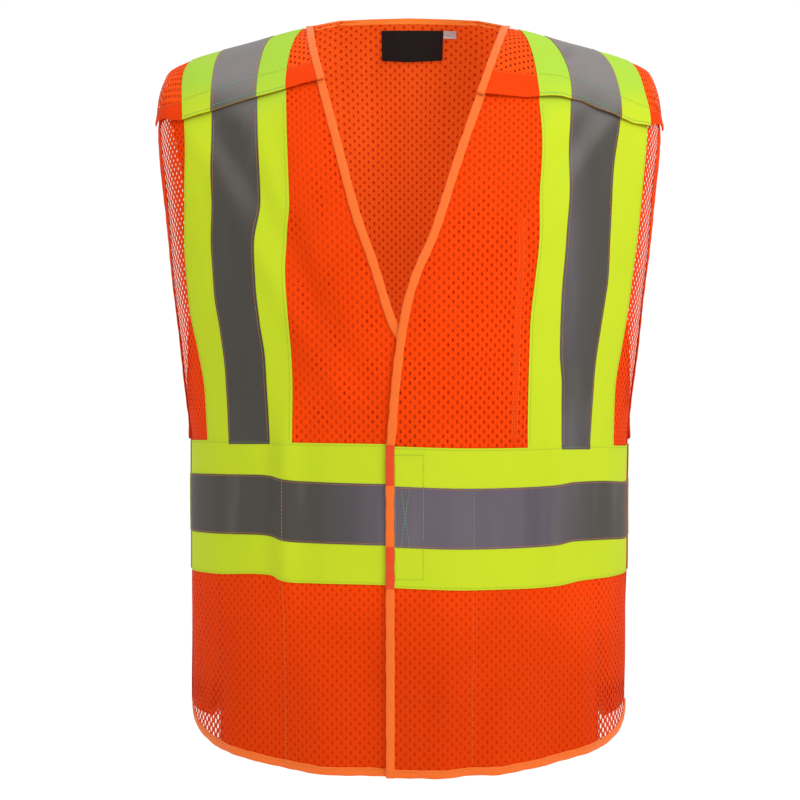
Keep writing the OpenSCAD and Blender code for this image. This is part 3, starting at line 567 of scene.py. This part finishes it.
for s in (1, -1):
    side = "left" if s > 0 else "right"
    E = lambda v: spl(EDGE[s], v)
    T = {k: (lambda v, k=k: spl(TL[s][k], v)) for k in ("li", "si", "so", "lo")}
    W = {k: wt(k, s) for k in ("lb", "sb", "st", "lt")}
    hem = lambda u: lin(HEM, np.abs(u))
    fo = lambda o: (lambda U, V: o + fbase(s, s*U, V))
    sideU = lambda v: .965 + .028*sm(1.0, 1.05, v)
    cut = lambda u: lin(CUT[s], np.abs(u))
    # --- mesh panel of the front, from the hem to the shoulder ridge under the flap
    nr, nc = 250, 84
    a, b = col(nc), row(nr)
    vt = (6/HA) + b*(1.985 - 6/HA)
    U = lerp(E(vt) + .012, sideU(vt), a)
    V = np.where(vt < .3, (hem(U) + 3)/HA + (vt - 6/HA)/(.3 - 6/HA)*(.3 - (hem(U)+3)/HA), vt)
    # beside the tapes the yoke stops just under the lower edge of the flap
    topU = lerp(1.985, np.minimum(cut(U) + .035, 1.985), sm(.745, .785, U))
    V = np.where(vt > 1.5, 1.5 + (vt - 1.5)*(topU - 1.5)/.485, V)
    ob = sheet("front_panel_%s_cloth" % side, s*U, V, fo(0.0), True, M_MESH)
    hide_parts("front_panel_" + side, "front_yoke_" + side); front_blend(ob)
    panel = ob
    # --- side lap under the side flap
    hh = row(60)
    k = col(14)
    hB = lambda u: lin(HEM, np.abs(u))
    U = lerp(.97, 1.14, k); H = lerp(44, 280, hh) + 0*U
    uf = np.where(U <= 1, U, 2-U)
    pf, nf = point(s*np.minimum(U, 1), H/HA, 0.0, True); pb, nb = point(s*uf, H/HA, 0.0, False)
    P = np.where((U <= 1)[..., None], pf, pb)
    f = grid_faces(60, 14, s > 0)
    x = arc(np.ones(1))[0]
    ob = new_obj("side_lap_%s_cloth" % side, P.reshape(-1, 3), f, M_MESH, np.stack(np.broadcast_arrays(s*(x + (U-1)*(x*.8)), H), -1).reshape(-1, 2))
    ob["flat_w"], ob["flat_l"], ob["flat_a"] = 42., 236., 9900.
    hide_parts("side_lap_" + side); rides(ob, "back"); declare(ob)
    # --- hem facing and bindings
    u = np.linspace(E(0)+.004, .965, 150)
    hb = binding("front_hem_binding_%s_cloth" % side, s*u, hem(u)/HA, 2, fo(.1), True, 7.2, 1.7, M_BIND)
    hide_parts("front_hem_binding_" + side); rides(hb, "front_" + side); declare(hb)
    stitch_uv(("front_" + side, "o"), s*u, (hem(u)+5.7)/HA, fo(.95), True, pitch=2.7, r=.2)
    # free edge binding: hem to the neck, over the tapes at the waist
    v = np.linspace(0, 1.985, 560)
    eb = binding("front_edge_binding_%s_cloth" % side, s*E(v), v, s, lambda U, V: 0.55 + fbase(s, s*U, V), True, 7.4, 2.3, M_BIND)
    eb.data.materials.append(M_BINDR)
    vv = np.array([p.center[2] for p in eb.data.polygons])*1000 + OH
    lo1, lo2, lo3, lo4 = W["lb"](E(0)), W["sb"](E(0)), W["st"](E(0)), W["lt"](E(0))
    red = ((vv > lo1-1) & (vv < lo2)) | ((vv > lo3) & (vv < lo4+1))
    eb.data.polygons.foreach_set("material_index", red.astype(np.int32))
    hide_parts("front_edge_binding_" + side); front_blend(eb); declare(eb)
    ob = binding("front_armhole_binding_%s_cloth" % side, s*np.ones(260)*.999, np.linspace(.985, 1.945, 260), -s, fo(.3), True, 11.5, 1.8, M_SOLID)
    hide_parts("front_armhole_binding_" + side); front_blend(ob); declare(ob)
    # --- vertical tapes
    nr = 210
    vt = lerp(W["lt"](.5)/HA - .012, 1.93, row(nr))
    def vtape(nm, e0, e1, o0, th, mat, nc, rep, vt=vt):
        U = lerp(e0(vt), e1(vt), col(nc)); V = np.broadcast_to(vt, U.shape)
        ob = sheet(nm, s*U, V, fo(o0), True, mat, thick=th)
        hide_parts(rep); return ob
    ob = vtape("front_vertical_tape_lime_%s_cloth" % side, T["li"], T["lo"], .62, .42, M_LIME, 40, "front_vertical_tape_lime_" + side)
    front_blend(ob); declare(ob)
    ob = vtape("front_vertical_tape_silver_%s_cloth" % side, T["si"], T["so"], .98, .34, M_SILVER, 22, "front_vertical_tape_silver_" + side)
    front_blend(ob); declare(ob)
    # --- waist tapes
    nc = 130
    U = lerp(E(.5) + .010, .966, col(nc))
    def wtape(nm, k0, k1, o0, th, mat, nr, rep):
        V = lerp(W[k0](U), W[k1](U), row(nr))/HA
        ob = sheet(nm, s*(U + 0*V), V, fo(o0), True, mat, thick=th)
        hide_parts(rep); rides(ob, "front_" + side); declare(ob); return ob
    wtape("front_waist_tape_lime_%s_cloth" % side, "lb", "lt", .70, .45, M_LIME, 40, "front_waist_tape_lime_" + side)
    wtape("front_waist_tape_silver_%s_cloth" % side, "sb", "st", 1.06, .34, M_SILVER, 20, "front_waist_tape_silver_" + side)
    # --- stitching of the tapes
    g1 = ("front_" + side, "o"); g2 = ("front_blend_" + side, "o")
    u = np.linspace(E(.5)+.03, .964, 160)
    for kk, d in (("sb", 1.3), ("st", -1.3)):
        stitch_uv(g1, s*u, (W[kk](u)+d)/HA, fo(1.10), True, pitch=2.4, r=.2)
    for kk, d in (("lb", 1.6), ("lt", -1.6)):
        stitch_uv(("front_" + side, "l"), s*u, (W[kk](u)+d)/HA, fo(.74), True, pitch=2.6, r=.18)
    v = np.linspace(W["lt"](.5)/HA + .004, 1.62, 260)
    for kk, d in (("si", .007), ("so", -.007)):
        stitch_uv(g2, s*(T[kk](v)+d), v, fo(1.02), True, pitch=2.4, r=.2)
    for kk, d in (("li", .008), ("lo", -.008)):
        stitch_uv(("front_blend_" + side, "l"), s*(T[kk](v)+d), v, fo(.66), True, pitch=2.6, r=.18)
    # --- pockets inside
    U = lerp(-.01 if s > 0 else .03, .636, col(60)); H = lerp(hem(U)+2, 197 + 0*U, row(60))
    ob = sheet("lower_pocket_%s_cloth" % side, s*(U + 0*H), H/HA, fo(-1.1), True, M_PKT)
    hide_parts("lower_pocket_" + side); rides(ob, "front_" + side); declare(ob)
    ui = .172 if s > 0 else .36
    stitch_uv(("front_" + side, "g" if s > 0 else "o"), s*ui*np.ones(40), np.linspace(W["sb"](ui)+1.5, W["st"](ui)-1.5, 40)/HA, fo(1.12), True, pitch=3.0, r=.24)
    stitch_uv(("front_" + side, "o"), s*ui*np.ones(60), np.linspace(12, W["lb"](ui), 60)/HA, fo(.1), True, pitch=2.8, r=.2)
    if s > 0:
        nrp = 70
        V = lerp(.975, 1.345, row(nrp)); U = lerp(.112 + .075*(V-.975), T["li"](V)+.10, col(34)); V = np.broadcast_to(V, U.shape)
        ob = sheet("chest_pocket_left_cloth", s*U, V, fo(-1.0), True, M_PKT)
        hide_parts("chest_pocket_left"); front_blend(ob); declare(ob)
        V = lerp(.975, 1.345, row(60)); U = lerp(.285, .301, col(5)) + .013*(V-1)
        ob = sheet("chest_pocket_edge_cloth", U, V + 0*U, fo(.30), True, M_SOLID, thick=.3)
        front_blend(ob); declare(ob)
        v = np.linspace(1.0, 1.345, 120); stitch_uv(("front_blend_left", "o"), .300 + .012*(v-1), v, fo(.15), True, pitch=2.8, r=.2)
        stitch_uv(("front_blend_left", "o"), .284 + .016*(v-1), v, fo(.15), True, pitch=2.8, r=.2)
        # closure stitches: a bar at each end and a long cross over the silver tape
        h0, h1 = W["sb"](0.)+1.5, W["st"](0.)-1.5
        stitch_uv(("front_left", "g"), -.0385*np.ones(30), np.linspace(h0, h1, 30)/HA, fo(1.14), True, pitch=2.7, r=.27)
        stitch_uv(("front_left", "g"), .0355*np.ones(30), np.linspace(199, 244, 30)/HA, fo(1.14), True, pitch=2.7, r=.27)
        for k in range(2):
            t = np.linspace(0, 1, 40); ua = lerp(-.024, -.001, t if k == 0 else 1-t)
            stitch_uv(("front_left", "g"), ua, lerp(h0, h1, t)/HA, fo(1.14), True, pitch=2.7, r=.27)
        for hx in (165.5, 268.5):
            stitch_uv(("front_left", "l"), np.linspace(-.038, .035, 16), np.ones(16)*hx/HA, fo(.78), True, pitch=2.6, r=.22)
        for uu in (-.0385, .0355):
            stitch_uv(("front_left", "l"), uu*np.ones(20), np.linspace(165.5, 190, 20)/HA, fo(.78), True, pitch=2.6, r=.2)
            stitch_uv(("front_left", "l"), uu*np.ones(20), np.linspace(245, 268.5, 20)/HA, fo(.78), True, pitch=2.6, r=.2)
        U = lerp(-.036, .033, col(12)); V = lerp(.58, .95, row(50)) + 0*U
        ob = sheet("front_hook_strip_cloth", U + 0*V, V, fo(-.5), True, M_HOOK, thick=.9)
        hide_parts("front_hook_strip_left"); rides(ob, "front_left"); declare(ob)
    else:
        U = lerp(-.006, .046, col(12)); V = lerp(.58, .95, row(50)) + 0*U
        ob = sheet("front_loop_strip_cloth", -(U + 0*V), V, fo(1.55), True, M_LOOP, thick=.5)
        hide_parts("front_loop_strip_right"); rides(ob, "front_right"); declare(ob)
    # --- shoulder flap over the yoke
    n1, n2 = 46, 96
    b = row(n1)
    En = lambda v: spl(EDGE[s], v)
    def flapgrid(uf0, uf1, nc, v0=0.0, v1=1.0, n1=46):
        b = lerp(v0, v1, row(n1)); w0 = 1.64 + .36*b
        U = lerp(uf0(w0), uf1(w0), col(nc)); c = cut(U)
        return s*U, c + (2.0-c)*b
    flapoff = lambda o: (lambda U, V: OB + o + .9*sm(1.78, 1.66, V)*np.sin(np.abs(U)*34. + (1.2 if s > 0 else 0))*(.9 if s > 0 else .35))
    U, V = flapgrid(lambda w: En(w) + .010, lambda w: .988 + 0*w, n2)
    ob = sheet("shoulder_flap_panel_%s_cloth" % side, U, V, flapoff(0), True, M_MESHF, flap=True)
    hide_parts("shoulder_flap_panel_" + side); ridge_blend(ob); declare(ob)
    # facing at the lower edge (double knit, no holes)
    U, V = flapgrid(lambda w: En(w) + .006, lambda w: .990 + 0*w, 90, 0.0, .20, 12)
    ob = sheet("shoulder_flap_facing_%s_cloth" % side, U, V, flapoff(.28), True, M_SOLID, thick=.9, flap=True)
    ridge_blend(ob); declare(ob)
    for k0, k1, o0, th, mat, nc, rep in (("li", "lo", .75, .42, M_LIME, 44, "shoulder_flap_tape_lime_"), ("si", "so", 1.12, .34, M_SILVER, 26, "shoulder_flap_tape_silver_")):
        U, V = flapgrid(T[k0], T[k1], nc, -.004, 1.0)
        ob = sheet(rep + side + "_cloth", U, V, flapoff(o0), True, mat, thick=th, flap=True)
        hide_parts(rep + side); ridge_blend(ob); declare(ob)
    v = np.linspace(cut(En(1.63)), 2.0, 70)
    ob = binding("shoulder_flap_neck_binding_%s_cloth" % side, s*En(v), v, s, flapoff(.35), True, 6.8, 1.9, M_BIND)
    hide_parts("shoulder_flap_neck_binding_" + side); ridge_blend(ob); declare(ob)
    v = np.linspace(cut(.988) + .004, 1.995, 24)
    ob = binding("shoulder_flap_armhole_binding_%s_cloth" % side, s*np.ones(24)*.988, v, -s, flapoff(.35), True, 8.4, 1.9, M_BIND)
    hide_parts("shoulder_flap_armhole_binding_" + side); ridge_blend(ob); declare(ob)
    gl = ("flap_" + side, "g")
    for bb in (.035, .19 if s < 0 else .21):
        w0 = 1.64 + .36*bb
        u = np.linspace(T["si"](w0)+.004, T["so"](w0)-.004, 60)
        stitch_uv(gl, s*u, cut(u) + (2.0-cut(u))*bb, flapoff(1.16), True, pitch=2.7, r=.28)
    for ua, ub, o in ((T["li"](1.65)+.004, T["si"](1.65), .8), (T["so"](1.65), T["lo"](1.65)-.004, .8)):
        u = np.linspace(ua, ub, 40); stitch_uv(gl, s*u, cut(u) + (2.0-cut(u))*.02, flapoff(o), True, pitch=2.7, r=.25)
        stitch_uv(("flap_" + side, "l"), s*u, cut(u) + (2.0-cut(u))*.20, flapoff(o), True, pitch=2.7, r=.2)
    for ua, ub in ((En(1.65)+.03, T["li"](1.65)), (T["lo"](1.65), .95)):
        u = np.linspace(ua, ub, 50); stitch_uv(("flap_" + side, "o"), s*u, cut(u) + (2.0-cut(u))*.185, flapoff(.34), True, pitch=2.7, r=.2)
    for kk, d in (("si", .007), ("so", -.007)):
        bq = np.linspace(0, 1, 60); w0 = 1.64 + .36*bq; uq = T[kk](w0)+d; stitch_uv(("flap_" + side, "o"), s*uq, cut(uq) + (2.0-cut(uq))*bq, flapoff(1.14), True, pitch=2.5, r=.2)
    U, V = flapgrid(T["li"], lambda w: .755 + 0*w, 40, .20, .44, 10)
    ob = sheet("shoulder_hook_strip_%s_cloth" % side, U, V, flapoff(-.35), True, M_HOOK, thick=.8, flap=True)
    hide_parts("shoulder_hook_strip_" + side); ridge_blend(ob); declare(ob)
    # --- side flap: edge of the back that laps over the front's side
    U = lerp(.765, .985, col(24)); H = lerp(lin(HEM, U), 283 + 0*U, row(70))
    def sflap(nm, U, H, o, th, mat, rep):
        ob = sheet(nm, s*(U + 0*H), H/HA, lambda U, V: OB + o - 1.5*sm(.84, .97, np.abs(U)), False, mat, thick=th)
        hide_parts(rep); side_blend(ob); declare(ob); return ob
    sflap("side_flap_panel_%s_cloth" % side, U, H, 0, 0, M_MESHB, "side_flap_panel_" + side)
    U2 = lerp(.765, .9995, col(26))
    sflap("side_flap_tape_lime_%s_cloth" % side, U2, lerp(W["lb"](1.0) + 0*U2, W["lt"](1.0) + 0*U2, row(20)), .6, .42, M_LIME, "side_flap_tape_lime_" + side)
    sflap("side_flap_tape_silver_%s_cloth" % side, U2, lerp(W["sb"](1.0) + 0*U2, W["st"](1.0) + 0*U2, row(14)), .95, .34, M_SILVER, "side_flap_tape_silver_" + side)
    U3 = lerp(.90, .995, col(8))
    sflap("side_hook_strip_%s_cloth" % side, U3, lerp(166 + 0*U3, 278 + 0*U3, row(30)), -.35, .8, M_HOOK, "side_hook_strip_" + side)
    hv = np.linspace(44, 283, 160)
    ob = binding("side_flap_edge_binding_%s_cloth" % side, s*.970*np.ones(160), hv/HA, -s, OB - 3.0, False, 7.5, 1.0, M_SOLID)
    side_blend(ob); declare(ob)
    # back armhole binding
    v = np.linspace(1.0, 2.0, 220)
    ob = binding("back_armhole_binding_%s_cloth" % side, s*(side_end(v) + .012), v, -s, OB + .2, False, 8.4, 1.8, M_SOLID)
    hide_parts("back_armhole_binding_" + side); rides(ob, "back"); declare(ob)
    # back vertical tapes
    vt = lerp(.97, 2.0, row(200))
    for k0, k1, o0, th, mat, nc, rep in (("li", "lo", .62, .42, M_LIME, 40, "back_vertical_tape_lime_"), ("si", "so", .98, .34, M_SILVER, 22, "back_vertical_tape_silver_")):
        U = lerp(T[k0](vt), T[k1](vt), col(nc))
        ob = sheet(rep + side + "_cloth", s*U, np.broadcast_to(vt, U.shape), OB + o0, False, mat, thick=th)
        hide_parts(rep + side); rides(ob, "back"); declare(ob)
    v = np.linspace(.99, 1.995, 260)
    for kk, d in (("si", .007), ("so", -.007)): stitch_uv(("back", "o"), s*(T[kk](v)+d), v, OB + 1.0, False, pitch=2.5, r=.2)
    for kk, d in (("li", .008), ("lo", -.008)): stitch_uv(("back", "l"), s*(T[kk](v)+d), v, OB + .64, False, pitch=2.7, r=.18)
    # side loop and shoulder loop strips
    U = lerp(.87, .96, col(8)); H = lerp(166 + 0*U, 278 + 0*U, row(30))
    ob = sheet("side_loop_strip_%s_cloth" % side, s*(U + 0*H), H/HA, 1.0, False, M_LOOP, thick=.6)
    if s > 0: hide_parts("side_loop_strips")
    rides(ob, "back"); declare(ob)
    U, V = flapgrid(T["li"], lambda w: .755 + 0*w, 40, .20, .44, 10)
    ob = sheet("shoulder_loop_strip_%s_cloth" % side, U, V, 1.75, True, M_LOOP, thick=.6, flap=True)
    if s > 0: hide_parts("shoulder_loop_strips")
    rides(ob, "back"); declare(ob)
    declare(panel)

# --- the back
nc, nr = 170, 260
vt = row(nr)*2.0
U = lerp(-1, 1, col(nc))*side_end(vt)
V = np.where(vt < .4, (lin(HEMB, np.abs(U)) + 3)/HA + (vt/.4)*(.4 - (lin(HEMB, np.abs(U)) + 3)/HA), vt)
ob = sheet("back_panel_cloth", U, V, OB, False, M_MESHB)
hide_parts("back_panel"); rides(ob, "back"); declare(ob)
u = np.linspace(-.765, .765, 260)
ob = binding("back_hem_binding_cloth", u, lin(HEMB, np.abs(u))/HA, 2, OB + .1, False, 7.2, 1.7, M_BIND)
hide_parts("back_hem_binding"); rides(ob, "back"); declare(ob)
u = np.linspace(-.243, .243, 160)
ob = binding("back_neck_binding_cloth", u, 2.0*np.ones(160), -2, OB + .3, False, 8.2, 2.2, M_BIND)
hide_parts("back_neck_binding"); rides(ob, "back"); declare(ob)
# painted light: a glowing strip of the lighter neck binding colour laid just in front of the back neck binding
u = np.linspace(-.240, .240, 130)[None, :]; w = np.linspace(0, 1, 7)[:, None]
p, n = point(u + 0*w, 2.0 - .022*w + 0*u, OB, False)
p[..., 1] -= 1.5; p[..., 2] += 1.2 - .8*w
ob = new_obj("back_neck_binding_lit_face", p.reshape(-1, 3), grid_faces(7, 130, True), M_BIND_NECK_LIT, np.stack(np.broadcast_arrays(u*260, w*8.0), -1).reshape(-1, 2))
ob["flat_w"], ob["flat_l"], ob["flat_a"] = 8.2, 186., 1525.
rides(ob, "back"); declare(ob)
U = lerp(-.767, .767, col(150))
for a0, a1, o0, th, mat, nr, rep in ((163, 279, .70, .45, M_LIME, 30, "back_waist_tape_lime"), (196, 247, 1.06, .34, M_SILVER, 16, "back_waist_tape_silver")):
    H = lerp(a0 + 0*U, a1 + 0*U, row(nr))
    ob = sheet(rep + "_cloth", U + 0*H, H/HA, OB + o0, False, mat, thick=th)
    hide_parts(rep); rides(ob, "back"); declare(ob)
u = np.linspace(-.76, .76, 400)
for hh in (197.3, 245.7): stitch_uv(("back", "o"), u, hh/HA*np.ones(400), OB + 1.1, False, pitch=2.5, r=.2)
for hh in (164.6, 277.4): stitch_uv(("back", "l"), u, hh/HA*np.ones(400), OB + .74, False, pitch=2.7, r=.18)
# label and size tab hang inside the back neck
def tab(nm, u0, u1, v0, v1, mat, rep, slot_, off):
    U = lerp(u0, u1, col(26)); V = lerp(v0, v1, row(18))
    ob = sheet(nm, U + 0*V, V + 0*U, lambda U, V: OB + off - .5*sm(v1-.02, v0, V)*1.6, False, mat, thick=.35, uv=np.stack(np.broadcast_arrays(arc(U) + 0*V, along(0*U, V, False)), -1))
    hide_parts(rep); rides(ob, "back"); declare(ob); return ob
tab("neck_label_cloth", -.072, .092, 1.846, 1.960, M_LABEL, "neck_label", "label", -1.3)
tab("size_tab_cloth", .093, .126, 1.932, 1.960, M_TAB, "size_tab", "size_label", -1.6)
for uu in (-.069, .089):
    stitch_uv(("back", "k"), uu*np.ones(30), np.linspace(1.85, 1.957, 30), OB - 1.75, False, pitch=2.4, r=.16, lift=-.3)

# --- threads, one mesh for each body and colour
TM = {"g": M_THREAD, "o": M_THREADO, "l": M_THREADL, "k": M_LABEL}
for (grp, c), parts in ST.items():
    vs = np.concatenate([p[0] for p in parts]); off = np.cumsum([0] + [len(p[0]) for p in parts[:-1]])
    fs = np.concatenate([p[1] + o for p, o in zip(parts, off)])
    ob = new_obj("stitching_%s_%s" % (grp, {"g": "green", "o": "orange", "l": "lime", "k": "black"}[c]), vs, fs, TM[c])
    s = -1 if grp.endswith("right") else 1
    if grp.startswith("front_blend"): front_blend(ob)
    elif grp.startswith("flap"): ridge_blend(ob)
    elif grp.startswith("front"): rides(ob, grp)
    else: rides(ob, "back")

# ---------------------------------------------------------------- floor, light and camera
import bmesh
me = bpy.data.meshes.new("studio_floor"); bm = bmesh.new()
bmesh.ops.create_circle(bm, cap_ends=True, cap_tris=False, segments=96, radius=9.0); bm.to_mesh(me); bm.free()
floor = bpy.data.objects.new("studio_floor", me); bpy.context.scene.collection.objects.link(floor)
floor.location = (0, 0, -OH/1000 - .42)
fm, nt, b, out = nodes_of("floor_paint")
c = mixc(nt, ramp(nt, noise(nt, 3.0), .3, .7, 0., .05), (.99, .99, .99), (.97, .97, .97)); nt.links.new(c, b.inputs["Base Color"]); set_common(b, .9, spec=.1)
me.materials.append(fm); floor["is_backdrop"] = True

w = bpy.data.worlds.new("studio"); bpy.context.scene.world = w; w.use_nodes = True
w.node_tree.nodes["Background"].inputs[0].default_value = (1, 1, 1, 1)
w.node_tree.nodes["Background"].inputs[1].default_value = 1.02

def area(name, loc, target, size, power, color=(1, 1, 1)):
    l = bpy.data.lights.new(name, "AREA"); l.shape = "RECTANGLE"; l.size, l.size_y = size; l.energy = power; l.color = color
    o = bpy.data.objects.new(name, l); bpy.context.scene.collection.objects.link(o)
    o.location = loc; o.rotation_euler = (Vector(target) - Vector(loc)).to_track_quat("-Z", "Y").to_euler()
area("key", (.85, -1.15, .75), (.02, 0, -.2), (.8, .8), 15.5)
area("top", (-.3, -.3, 2.4), (0, 0, 0), (1.8, 1.8), 14, (.97, .99, 1))

cam = bpy.data.cameras.new("camera"); co = bpy.data.objects.new("camera", cam); bpy.context.scene.collection.objects.link(co)
co.location = (-.0082, -1.5, (281-OH)/1000); co.rotation_euler = (math.pi/2, 0, 0)
cam.sensor_fit = "HORIZONTAL"; cam.sensor_width = 36; cam.lens = 36*1638/800; cam.shift_y = .05
bpy.context.scene.camera = co
bpy.context.scene.view_settings.view_transform = "Standard"

box = lambda bb: [[float(x) for x in p] for p in bb] if hasattr(bb[0], "__len__") else [float(x) for x in bb]
{"cad": box(CAD_BOX), "visual": box(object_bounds())}
